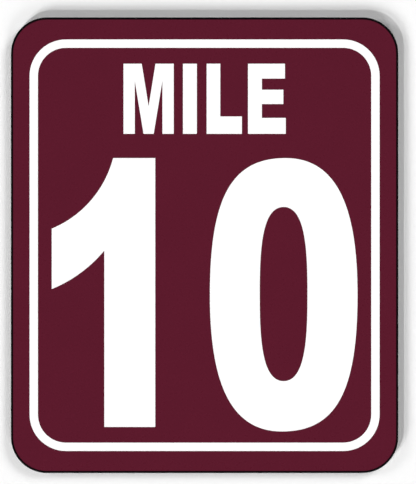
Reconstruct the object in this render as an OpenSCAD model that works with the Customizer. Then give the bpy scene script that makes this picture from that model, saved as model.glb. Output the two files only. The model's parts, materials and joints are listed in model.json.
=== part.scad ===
// Mile marker sign: a flat panel with rounded corners and a film-covered face.
// The sign stands upright and faces -Y. The origin is the centre of the back
// face, which is the face that is fixed to a wall, a board or a post plate.

/* [Panel] */
// Width of the panel, from edge to edge
panel_w = 215.9; // [150:0.1:450]
// Height of the panel, from edge to edge
panel_h = 254; // [150:0.1:600]
// Thickness of the panel, without the films
panel_t = 5; // [2:0.5:10]
// Radius of the panel's corners
corner_r = 20; // [8:0.5:30]
// Width of the 45 degree break along the front and back edges
edge_break = 0.1; // [0.05:0.05:0.5]

/* [Face films] */
// Thickness of the dark red background film and of the black line round it
film_t = 0.2; // [0.1:0.05:0.4]
// Thickness of the white film of the border, which lies on the background
copy_t = 0.1; // [0.05:0.05:0.2]
// Width of the black line along the edge of the face
line_w = 1.1; // [0.5:0.1:3]

/* [Border] */
// Distance from the panel's side edges to the white border
border_side = 10.4; // [8:0.1:20]
// Distance from the panel's top and bottom edges to the white border
border_end = 12.3; // [8:0.1:20]
// Width of the white border
border_w = 4.65; // [2:0.05:8]
// Outer radius of the border's corners
border_r = 20.3; // [15:0.1:30]

/* [Hidden] */
$fn = 128;

// The face is the flat front of the panel, inside the broken edge
face_w = panel_w - 2 * edge_break;
face_h = panel_h - 2 * edge_break;
face_r = corner_r - edge_break;

// The background film fills the face inside the black line
field_w = face_w - 2 * line_w;
field_h = face_h - 2 * line_w;
field_r = face_r - line_w;

// Outer edge of the white border
border_out_w = panel_w - 2 * border_side;
border_out_h = panel_h - 2 * border_end;

// The four corners, as signs of x and y
corners = [[1, 1], [-1, 1], [-1, -1], [1, -1]];

// Everything is drawn lying on its back, then stood up to face -Y
module stand_up() {
    rotate([90, 0, 0]) children();
}

// Lifts a film from the drawing plane onto the panel's front face
module on_face(height = 0) {
    translate([0, 0, panel_t + height]) children();
}

// Rectangle with rounded corners, centred on the origin
module rounded_rectangle(w, h, r) {
    square([w - 2 * r, h], center = true);
    square([w, h - 2 * r], center = true);
    for (c = corners)
        translate([c[0] * (w / 2 - r), c[1] * (h / 2 - r)]) circle(r);
}

// Frame of constant width that follows a rounded rectangle inwards
module rounded_frame(w, h, r, band) {
    difference() {
        rounded_rectangle(w, h, r);
        rounded_rectangle(w - 2 * band, h - 2 * band, r - band);
    }
}

// Section across the panel, with all four edges broken at 45 degrees
module panel_section(across) {
    e = edge_break;
    half = across / 2;
    polygon([
        [-half + e, 0], [half - e, 0], [half, e], [half, panel_t - e],
        [half - e, panel_t], [-half + e, panel_t], [-half, panel_t - e], [-half, e]
    ]);
}

// Straight stretch of the panel: its section, run along X
module panel_bar(across, along) {
    rotate([90, 0, 90])
        linear_extrude(height = along, center = true) panel_section(across);
}

// Round corner of the panel: half of the same section, turned about its centre
module panel_corner() {
    rotate_extrude() intersection() {
        panel_section(2 * corner_r);
        square([corner_r, panel_t]);
    }
}

// The panel: one flat sheet, cut to its outline and deburred
module panel() {
    color([0.66, 0.66, 0.66]) stand_up() union() {
        panel_bar(panel_h, panel_w - 2 * corner_r);
        rotate([0, 0, 90]) panel_bar(panel_w, panel_h - 2 * corner_r);
        for (c = corners)
            translate([c[0] * (panel_w / 2 - corner_r), c[1] * (panel_h / 2 - corner_r), 0])
                panel_corner();
    }
}

// The black line that runs round the edge of the face
module edge_line() {
    color([0.02, 0.02, 0.02]) stand_up() on_face()
        linear_extrude(height = film_t)
            rounded_frame(face_w, face_h, face_r, line_w);
}

// The dark red background of the face
module background_film() {
    color([0.36, 0.11, 0.17]) stand_up() on_face()
        linear_extrude(height = film_t)
            rounded_rectangle(field_w, field_h, field_r);
}

// The white border, cut from film and laid on the background
module border_stripe() {
    color([1, 1, 1]) stand_up() on_face(film_t)
        linear_extrude(height = copy_t)
            rounded_frame(border_out_w, border_out_h, border_r, border_w);
}

panel();
edge_line();
background_film();
border_stripe();
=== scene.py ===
# Mile marker sign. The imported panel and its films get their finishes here, and
# the lettering is cut from thin white film and laid on the dark red face.
import json
import math

import bpy
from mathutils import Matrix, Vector


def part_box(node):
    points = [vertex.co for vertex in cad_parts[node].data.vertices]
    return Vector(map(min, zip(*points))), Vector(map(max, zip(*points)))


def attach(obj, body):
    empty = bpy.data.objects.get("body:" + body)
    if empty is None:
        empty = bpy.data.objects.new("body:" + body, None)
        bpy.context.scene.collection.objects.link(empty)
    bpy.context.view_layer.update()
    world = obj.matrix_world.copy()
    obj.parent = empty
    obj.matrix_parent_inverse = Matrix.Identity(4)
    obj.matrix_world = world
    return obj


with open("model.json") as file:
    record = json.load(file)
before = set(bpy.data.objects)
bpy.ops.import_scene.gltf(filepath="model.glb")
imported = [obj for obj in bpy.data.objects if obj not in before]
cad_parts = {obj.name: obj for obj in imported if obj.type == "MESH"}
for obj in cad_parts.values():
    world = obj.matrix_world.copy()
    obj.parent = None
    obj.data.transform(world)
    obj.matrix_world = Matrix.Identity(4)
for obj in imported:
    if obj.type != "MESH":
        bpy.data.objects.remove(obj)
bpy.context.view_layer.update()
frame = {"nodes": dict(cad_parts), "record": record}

mm = 0.001  # sizes below are in millimetres, from the centre of the face
weld = 0.001  # points that are closer than this become one
upright = (math.pi / 2, 0, 0)  # turns what lies flat to face the reader
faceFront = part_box("background_film")[0].y  # front of the dark red film
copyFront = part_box("border_stripe")[0].y  # front of the white film on top of it
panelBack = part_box("panel")[1].y
copyThickness = faceFront - copyFront


# Shader nodes, written as expressions

white = (1, 1, 1)
black = (0, 0, 0)
lowColour, highColour, mixedColour = 6, 7, 2  # sockets of the Mix node that carry colours
noiseMean = 0.5  # what a noise comes to on average


class Wire:  # a node's output, so that sums and products read as they are meant
    def __init__(self, board, socket):
        self.board = board
        self.socket = socket

    def combine(self, operation, first, second):
        return self.board.node("ShaderNodeMath", {"operation": operation}, {0: first, 1: second})

    def __add__(self, other):
        return self.combine("ADD", self, other)

    def __radd__(self, other):
        return self.combine("ADD", other, self)

    def __sub__(self, other):
        return self.combine("SUBTRACT", self, other)

    def __rsub__(self, other):
        return self.combine("SUBTRACT", other, self)

    def __mul__(self, other):
        return self.combine("MULTIPLY", self, other)

    def __rmul__(self, other):
        return self.combine("MULTIPLY", other, self)


class Board:  # a node tree and the few ways of adding to it
    def __init__(self, tree):
        self.tree = tree

    def node(self, kind, settings, values, output=0):
        made = self.tree.nodes.new(kind)
        for name, value in settings.items():
            setattr(made, name, value)
        for name, value in values.items():
            self.feed(made.inputs[name], value)
        return Wire(self, made.outputs[output])

    def feed(self, socket, value):
        if isinstance(value, Wire):
            self.tree.links.new(value.socket, socket)
        else:
            socket.default_value = value

    def surface(self, output, shader):  # gives the shader to the tree's output node
        self.feed(self.tree.nodes[output].inputs["Surface"], shader)

    def blend(self, factor, low, high):  # from colour low to colour high
        values = {"Factor": factor, lowColour: (*low, 1), highColour: (*high, 1)}
        return self.node("ShaderNodeMix", {"data_type": "RGBA"}, values, mixedColour)

    def layer(self, factor, low, high):  # from shader low to shader high
        return self.node("ShaderNodeMixShader", {}, {0: factor, 1: low, 2: high})

    def ramp(self, value, low, high):  # 0 at low, 1 at high, eased in between
        ends = {"Value": value, "From Min": low, "From Max": high}
        return self.node("ShaderNodeMapRange", {"interpolation_type": "SMOOTHSTEP"}, ends)


class Finish(Board):  # a material round one Principled shader
    def __init__(self, name):
        self.material = bpy.data.materials.new(name)
        self.material.use_nodes = True
        super().__init__(self.material.node_tree)
        self.shader = self.tree.nodes["Principled BSDF"]
        self.place = self.node("ShaderNodeTexCoord", {}, {}, "Object")

    def drive(self, name, value):  # a wire where it changes over the surface, or else a plain value
        self.feed(self.shader.inputs[name], value)

    def noise(self, speck):  # speck: its size along x, y and z, in mm
        mapping = {"Vector": self.place, "Scale": [1 / (mm * size) for size in speck]}
        at = self.node("ShaderNodeMapping", {}, mapping)
        return self.node("ShaderNodeTexNoise", {}, {"Vector": at, "Scale": 1.0})

    def bump(self, relief):  # in mm
        values = {"Height": relief, "Strength": 1.0, "Distance": mm}
        self.drive("Normal", self.node("ShaderNodeBump", {}, values))


def scaled(colour, factor):
    return [part * factor for part in colour]


# Finishes

film = dict(
    gloss=0.35,
    roughness=0.28,
    roughnessSpread=0.06,
    cloud=24.0,  # slow changes in the colour's depth, mm
    cloudRange=(0.3, 0.7),  # the noise at the deepest and at the palest cloud
    cloudSpread=0.012,  # share of the colour, up and down, as the grain's is
    grain=0.22,  # fine grain of the film, mm
    grainSpread=0.03,
    grainDepth=0.0008,
    ripple=2.4,  # ripple of the pressed film, mm
    rippleDepth=0.0025,
)


def filmFinish(name, colour):
    look = Finish(name)
    clouds = look.ramp(look.noise((film["cloud"],) * 3), *film["cloudRange"])
    grain = look.noise((film["grain"],) * 3)
    ripple = look.noise((film["ripple"],) * 3)
    spread = film["cloudSpread"] + film["grainSpread"]
    share = film["cloudSpread"] / spread
    mixed = share * clouds + (1 - share) * grain
    look.drive("Base Color", look.blend(mixed, scaled(colour, 1 - spread), scaled(colour, 1 + spread)))
    look.drive("Roughness", film["roughness"] + film["roughnessSpread"] * (ripple - noiseMean))
    look.drive("Specular IOR Level", film["gloss"])
    look.bump(ripple * film["rippleDepth"] + grain * film["grainDepth"])
    return look.material


sheet = dict(
    colour=(0.62, 0.62, 0.63),
    colourSpread=0.32,  # share of the colour that the wear can change, from end to end
    edgeTone=0.95,  # the edges' colour, as a share of the flat sides'
    roughness=0.40,
    edgeRoughness=0.72,
    roughnessSpread=0.30,
    rolled=(0.9, 4.0, 140.0),  # rolling lines on the flat sides, which run up the sheet
    rolledDepth=0.003,
    milled=(0.5, 12.0, 0.5),  # cutter marks on the edges, which run across them
    milledDepth=0.006,
    smear=(30.0, 30.0, 60.0),  # hand marks and dull patches
    lineShare=0.6,  # the lines' share of the wear, and the smears have the rest
    flatRange=(0.4, 0.6),  # square of the normal's y, from an edge to a flat side
    inkRange=(0.01, 0.04),  # square of how far the normal is from the front break's, black to bare
)
breakLean = -math.sqrt(0.5)  # y of the normal of the front edges' 45 degree break


def sheetFinish(name):
    look = Finish(name)
    facing = look.node("ShaderNodeNewGeometry", {}, {}, "Normal")
    across = look.node("ShaderNodeSeparateXYZ", {}, {"Vector": facing}, "Y")
    flat = look.ramp(across * across, *sheet["flatRange"])
    offBreak = across - breakLean
    bare = look.ramp(offBreak * offBreak, *sheet["inkRange"])  # the black line runs over the break
    rolled = look.noise(sheet["rolled"])
    milled = look.noise(sheet["milled"])
    smear = look.noise(sheet["smear"])
    lines = flat * rolled + (1 - flat) * milled
    worn = sheet["lineShare"] * lines + (1 - sheet["lineShare"]) * smear
    wear = worn - noiseMean
    tone = sheet["edgeTone"] + (1 - sheet["edgeTone"]) * flat
    brightest = 1 + sheet["colourSpread"] / 2
    shade = tone * (1 + sheet["colourSpread"] * wear) * bare * (1 / brightest)
    look.drive("Base Color", look.blend(shade, black, scaled(sheet["colour"], brightest)))
    dull = sheet["edgeRoughness"] + (sheet["roughness"] - sheet["edgeRoughness"]) * flat
    look.drive("Roughness", dull + sheet["roughnessSpread"] * wear)
    look.drive("Metallic", flat)  # the cut edges scatter the light, and the rolled sides mirror it
    look.bump(flat * rolled * sheet["rolledDepth"] + (1 - flat) * milled * sheet["milledDepth"])
    return look.material


finishes = {
    "bare_sheet": sheetFinish("bareSheet"),
    "black_film": filmFinish("blackFilm", (0.0015, 0.0015, 0.002)),
    "red_film": filmFinish("redFilm", (0.0925, 0.0090, 0.0218)),
    "white_film": filmFinish("whiteFilm", (0.94, 0.94, 0.94)),
}

for part in frame["record"]["subparts"]:
    frame["nodes"][part["node"]].data.materials[0] = finishes[part["material_slot"]]
print("finishes made:", ", ".join(finishes))


# Lettering: cut film, as thick as the border

cut = dict(lip=0.03, segments=2, angle=40)  # lip: rounding of a cut edge, mm


def lay(piece):  # gives a flat shape the film's thickness and its finish
    bpy.ops.object.mode_set(mode="OBJECT")
    thick = piece.modifiers.new("thick", "SOLIDIFY")
    thick.thickness = copyThickness
    thick.offset = 1.0
    lip = piece.modifiers.new("lip", "BEVEL")
    lip.width = cut["lip"] * mm
    lip.segments = cut["segments"]
    lip.limit_method = "ANGLE"
    lip.angle_limit = math.radians(cut["angle"])
    for modifier in ("thick", "lip"):
        bpy.ops.object.modifier_apply(modifier=modifier)
    piece.data.materials.clear()
    piece.data.materials.append(finishes["white_film"])
    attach(piece, "root")


def blank(name, left, right, low, high):  # rectangle of film on the face, ready to be cut
    bpy.ops.object.select_all(action="DESELECT")
    centre = (mm * (left + right) / 2, faceFront, mm * (low + high) / 2)
    bpy.ops.mesh.primitive_plane_add(size=1, location=centre, rotation=upright)
    piece = bpy.context.object
    piece.name = piece.data.name = name
    piece.scale = (mm * (right - left), mm * (high - low), 1)
    bpy.ops.object.transform_apply(location=True, rotation=True, scale=True)
    bpy.ops.object.mode_set(mode="EDIT")
    return piece


def slit(start, end):  # straight cut across the whole blank, through two points
    bpy.ops.mesh.select_all(action="SELECT")
    across = Vector((end[1] - start[1], 0, start[0] - end[0])).normalized()
    bpy.ops.mesh.bisect(plane_co=(mm * start[0], faceFront, mm * start[1]), plane_no=across)


def upSlit(x):
    slit((x, 0), (x, 1))


def levelSlit(z):
    slit((0, z), (1, z))


def heal():  # closes the slits that have the same film on both sides
    bpy.ops.mesh.select_all(action="SELECT")
    bpy.ops.mesh.dissolve_limited()


def weed(piece, isWaste):  # takes the waste away
    bpy.ops.object.mode_set(mode="OBJECT")
    for face in piece.data.polygons:
        face.select = isWaste(face.center.x / mm, face.center.z / mm)
    bpy.ops.object.mode_set(mode="EDIT")
    bpy.ops.mesh.select_mode(type="FACE")
    bpy.ops.mesh.delete(type="FACE")
    heal()


capitals = dict(base=62.1, top=101.2)  # height of the word's foot and of its top
letterI = dict(left=-12.05, width=7.75)


def makeI():
    left, right = letterI["left"], letterI["left"] + letterI["width"]
    lay(blank("letter_I", left, right, capitals["base"], capitals["top"]))


letterL = dict(left=1.15, stem=7.6, width=19.65, foot=9.7)


def makeL():
    left = letterL["left"]
    stemRight = left + letterL["stem"]
    footTop = capitals["base"] + letterL["foot"]
    piece = blank("letter_L", left, left + letterL["width"], capitals["base"], capitals["top"])
    upSlit(stemRight)
    levelSlit(footTop)
    weed(piece, lambda x, z: x > stemRight and z > footTop)
    lay(piece)


letterE = dict(
    left=24.2,
    stem=7.75,
    arms=(20.6, 19.7, 21.05),  # reach of the top, middle and bottom arm from the left
    levels=(92.9, 86.7, 78.7, 71.0),  # edges of the arms, from the top down
)


def makeE():
    left = letterE["left"]
    stemRight = left + letterE["stem"]
    topArm, middleArm, bottomArm = (left + arm for arm in letterE["arms"])
    underTop, overMiddle, underMiddle, overBottom = letterE["levels"]
    piece = blank("letter_E", left, bottomArm, capitals["base"], capitals["top"])
    for x in (stemRight, topArm, middleArm):
        upSlit(x)
    for z in letterE["levels"]:
        levelSlit(z)

    def isWaste(x, z):
        if z > underTop:
            return x > topArm
        if z > overMiddle or overBottom < z < underMiddle:
            return x > stemRight
        return z > underMiddle and x > middleArm

    weed(piece, isWaste)
    lay(piece)


letterM = dict(
    left=-45.2,
    stem=6.3,
    width=28.0,
    shoulder=10.15,  # where the upper slope starts, from the left
    notch=77.5,  # foot of the V between the shoulders
    armpit=91.7,  # where the lower slope leaves the stem
    foot=5.65,  # width of the V's point on the base line
)


def makeM():
    left, base, top = letterM["left"], capitals["base"], capitals["top"]
    middle = left + letterM["width"] / 2
    stemRight = left + letterM["stem"]
    shoulder = left + letterM["shoulder"]
    armpit, notch = letterM["armpit"], letterM["notch"]
    footLeft = middle - letterM["foot"] / 2
    piece = blank("letter_M", left, middle, base, top)  # the left half, mirrored below
    upSlit(stemRight)
    slit((stemRight, armpit), (footLeft, base))
    slit((shoulder, top), (middle, notch))

    def isWaste(x, z):
        underArm = armpit + (x - stemRight) * (base - armpit) / (footLeft - stemRight)
        overArm = top + (x - shoulder) * (notch - top) / (middle - shoulder)
        return x > stemRight and z < underArm or z > overArm

    weed(piece, isWaste)
    bpy.ops.object.mode_set(mode="OBJECT")
    centre = bpy.data.objects.new("letterMiddle", None)
    bpy.context.collection.objects.link(centre)
    centre.location.x = middle * mm
    twin = piece.modifiers.new("twin", "MIRROR")
    twin.mirror_object = centre
    twin.merge_threshold = weld * mm
    bpy.ops.object.modifier_apply(modifier="twin")
    bpy.data.objects.remove(centre)
    bpy.ops.object.mode_set(mode="EDIT")
    heal()
    lay(piece)


for make in (makeM, makeI, makeL, makeE):
    make()
print("capital letters cut")


curveSteps = 32  # straight pieces from knot to knot


def startOutline(name):  # an empty flat curve, drawn lying down
    bpy.ops.object.select_all(action="DESELECT")
    bpy.ops.curve.primitive_bezier_curve_add(location=(0, 0, 0))
    piece = bpy.context.object
    piece.name = piece.data.name = name
    piece.data.splines.clear()
    piece.data.dimensions = "2D"
    piece.data.fill_mode = "BOTH"
    piece.data.resolution_u = curveSteps
    return piece


def addLoop(piece, knots):  # knot: its point, the handle before it and the one after, None if straight
    loop = piece.data.splines.new("BEZIER")
    loop.bezier_points.add(len(knots) - 1)
    loop.use_cyclic_u = True
    for knot, (point, before, after) in zip(loop.bezier_points, knots):
        knot.co = (mm * point[0], mm * point[1], 0)
        knot.handle_left_type = "FREE" if before else "VECTOR"
        knot.handle_right_type = "FREE" if after else "VECTOR"
        if before:
            knot.handle_left = (mm * before[0], mm * before[1], 0)
        if after:
            knot.handle_right = (mm * after[0], mm * after[1], 0)


def standOutline(piece):  # fills the curve, makes it a mesh and stands it against the face
    bpy.ops.object.convert(target="MESH")
    piece.location = (0, faceFront, 0)
    piece.rotation_euler = upright
    bpy.ops.object.transform_apply(location=True, rotation=True, scale=True)
    bpy.ops.object.mode_set(mode="EDIT")
    bpy.ops.mesh.select_all(action="SELECT")
    bpy.ops.mesh.remove_doubles(threshold=weld * mm)
    lay(piece)


def arcHandles(start, end, centre):  # handles that bend the stretch from start to end round centre
    startAngle = math.atan2(start[1] - centre[1], start[0] - centre[0])
    endAngle = math.atan2(end[1] - centre[1], end[0] - centre[0])
    reach = 4 / 3 * math.tan((endAngle - startAngle) / 4)  # as a share of the radius
    after = (start[0] - reach * (start[1] - centre[1]), start[1] + reach * (start[0] - centre[0]))
    before = (end[0] + reach * (end[1] - centre[1]), end[1] - reach * (end[0] - centre[0]))
    return after, before


numeralOne = dict(
    left=-85.2,  # outer end of the flag
    stemLeft=-55.9,
    topLeft=-51.0,  # where the flag's upper curve leaves the top
    right=-27.5,
    top=48.6,
    base=-101.3,
    flagTop=9.25,
    flagBase=-24.4,
    flagInner=-2.95,  # where the flag's lower curve meets the stem
    upperCentre=(-107.6, 63.3),
    lowerCentre=(-113.4, 45.0),
)


def makeOne():
    one = numeralOne
    tip = (one["topLeft"], one["top"])
    flagTop = (one["left"], one["flagTop"])
    flagBase = (one["left"], one["flagBase"])
    inner = (one["stemLeft"], one["flagInner"])
    tipAfter, flagTopBefore = arcHandles(tip, flagTop, one["upperCentre"])
    flagBaseAfter, innerBefore = arcHandles(flagBase, inner, one["lowerCentre"])
    piece = startOutline("numeral_1")
    addLoop(piece, [
        ((one["right"], one["top"]), None, None),
        (tip, None, tipAfter),
        (flagTop, flagTopBefore, None),
        (flagBase, None, flagBaseAfter),
        (inner, innerBefore, None),
        ((one["stemLeft"], one["base"]), None, None),
        ((one["right"], one["base"]), None, None),
    ])
    standOutline(piece)


numeralZero = dict(
    outerCentre=(44.1, -27.6),
    outerSize=(82.3, 152.4),
    outerLean=1.05,  # how far the crown is to the right of the middle, and the foot to its left
    outerReach=(0.73, 0.606, 0.717),  # handles: across, towards the slack side, towards the full side
    innerCentre=(44.05, -27.2),
    innerSize=(26.6, 97.1),
    innerLean=0.0,
    innerReach=(0.93, 0.492, 0.492),
)


def ovalKnots(centre, size, lean, reach):  # half a turn leaves the oval as it was
    x, z = centre
    halfWidth, halfHeight = size[0] / 2, size[1] / 2
    across, slack, full = halfWidth * reach[0], halfHeight * reach[1], halfHeight * reach[2]
    left, right = x - halfWidth, x + halfWidth
    base, top = z - halfHeight, z + halfHeight
    foot, crown = x - lean, x + lean
    return [
        ((crown, top), (crown - across, top), (crown + across, top)),
        ((right, z), (right, z + slack), (right, z - full)),
        ((foot, base), (foot + across, base), (foot - across, base)),
        ((left, z), (left, z - slack), (left, z + full)),
    ]


def makeZero():
    zero = numeralZero
    piece = startOutline("numeral_0")
    addLoop(piece, ovalKnots(zero["outerCentre"], zero["outerSize"], zero["outerLean"], zero["outerReach"]))
    addLoop(piece, ovalKnots(zero["innerCentre"], zero["innerSize"], zero["innerLean"], zero["innerReach"]))
    standOutline(piece)


for make in (makeOne, makeZero):
    make()
print("numerals cut")


# Room: a pale floor, and a pale wall that the sign is fixed to

room = dict(
    floorDrop=1.2,  # metres, as the two sizes are
    floorSize=14.0,
    wallSize=3.0,
    floorTone=0.80,
    wallTone=0.87,
    gap=0.3,  # the wall's face stands this far in front of the sign's back, mm
)
paint = dict(cloud=400.0, spread=0.01, roughness=0.9)


def addSurface(name, tone, size, place, turn):  # seen from its front only, and clear from behind
    bpy.ops.object.select_all(action="DESELECT")
    bpy.ops.mesh.primitive_plane_add(size=size, location=place, rotation=turn)
    surface = bpy.context.object
    surface.name = name
    look = Finish(name + "Paint")
    clouds = look.noise((paint["cloud"],) * 3)
    deep, pale = scaled(white, tone - paint["spread"]), scaled(white, tone + paint["spread"])
    look.drive("Base Color", look.blend(clouds, deep, pale))
    look.drive("Roughness", paint["roughness"])
    behind = look.node("ShaderNodeNewGeometry", {}, {}, "Backfacing")
    painted = Wire(look, look.shader.outputs["BSDF"])
    clear = look.node("ShaderNodeBsdfTransparent", {}, {})
    look.surface("Material Output", look.layer(behind, painted, clear))
    surface.data.materials.append(look.material)
    return surface


floor = addSurface("floor", room["floorTone"], room["floorSize"], (0, 0, -room["floorDrop"]), (0, 0, 0))
for ray in ("shadow", "diffuse", "glossy"):  # some light comes from low down, and the floor lets it by
    setattr(floor, "visible_" + ray, False)
wallCentre = (0, panelBack - room["gap"] * mm, room["wallSize"] / 2 - room["floorDrop"])
addSurface("wall", room["wallTone"], room["wallSize"], wallCentre, upright)
frame["nodes"]["panel"].visible_diffuse = False  # its lit edges would brighten the shade beside them
print("room made")


# Light: a small key and four soft lamps in front, and two soft lamps behind

lights = {  # shadow: how far it throws the shadow to the right and up, mm; disc: its width, degrees
    "lowKey": dict(shadow=(3.45, 4.55), disc=1.5, strength=1.18),
    "lowSoft": dict(shadow=(6.6, 7.7), disc=15, strength=2.25),
    "highSoft": dict(shadow=(-5.0, -3.75), disc=28, strength=1.53),
    "rightSoft": dict(shadow=(-3.2, 9.0), disc=19, strength=0.93),
    "leftSoft": dict(shadow=(8.2, -1.75), disc=18, strength=0.85),
}
rearLight = dict(away=(1.1, 1.2, 2.4), disc=40, strength=1.8)  # away: to the side, back and up
glow = dict(front=0.03, rear=0.7, rise=(-0.2, 0.6), backdrop=0.93)  # rise: y from front to rear


def addLight(name, along, disc, strength):
    bpy.ops.object.light_add(type="SUN")
    lamp = bpy.context.object
    lamp.name = name
    lamp.rotation_euler = Vector(along).to_track_quat("-Z", "Y").to_euler()
    lamp.data.angle = math.radians(disc)
    lamp.data.energy = strength
    return lamp


def makeWorld():  # an even backdrop for the camera, and a glow that lights the sign's back
    world = bpy.data.worlds.new("studio")
    bpy.context.scene.world = world
    world.use_nodes = True
    look = Board(world.node_tree)
    towards = look.node("ShaderNodeTexCoord", {}, {}, "Generated")
    rearward = look.node("ShaderNodeSeparateXYZ", {}, {"Vector": towards}, "Y")
    level = glow["front"] + (glow["rear"] - glow["front"]) * look.ramp(rearward, *glow["rise"])
    full = (*white, 1)
    ambient = look.node("ShaderNodeBackground", {}, {"Color": full, "Strength": level})
    backdrop = look.node("ShaderNodeBackground", {}, {"Color": full, "Strength": glow["backdrop"]})
    seen = look.node("ShaderNodeLightPath", {}, {}, "Is Camera Ray")
    look.surface("World Output", look.layer(seen, ambient, backdrop))


standOut = (panelBack - faceFront) / mm - room["gap"]  # from the wall to the face
for name, light in lights.items():
    right, up = light["shadow"]
    lamp = addLight(name, (right, standOut, up), light["disc"], light["strength"])
    lamp.visible_glossy = False  # from some sides its glare would wash the film out
for side in (-1, 1):
    x, y, z = rearLight["away"]
    addLight("rearSoft", (-side * x, -y, -z), rearLight["disc"], rearLight["strength"])
makeWorld()


# Camera: a long lens, square on

view = dict(
    lens=400,  # mm, as the sensor is
    sensor=36,
    frameHeight=269.8,  # what the upright picture takes in at the face, mm
    aim=(1.9, 1.8),  # to the right and up
    nearest=0.1,  # metres, as the next is
    farthest=50,
)


def makeCamera():
    distance = view["lens"] / view["sensor"] * view["frameHeight"] * mm
    across, up = view["aim"]
    place = (mm * across, faceFront - distance, mm * up)
    bpy.ops.object.camera_add(location=place, rotation=upright)
    camera = bpy.context.object
    camera.data.lens = view["lens"]
    camera.data.sensor_width = view["sensor"]
    camera.data.clip_start = view["nearest"]
    camera.data.clip_end = view["farthest"]
    bpy.context.scene.camera = camera


makeCamera()
bpy.context.scene.view_settings.view_transform = "Standard"
print("light and camera set")
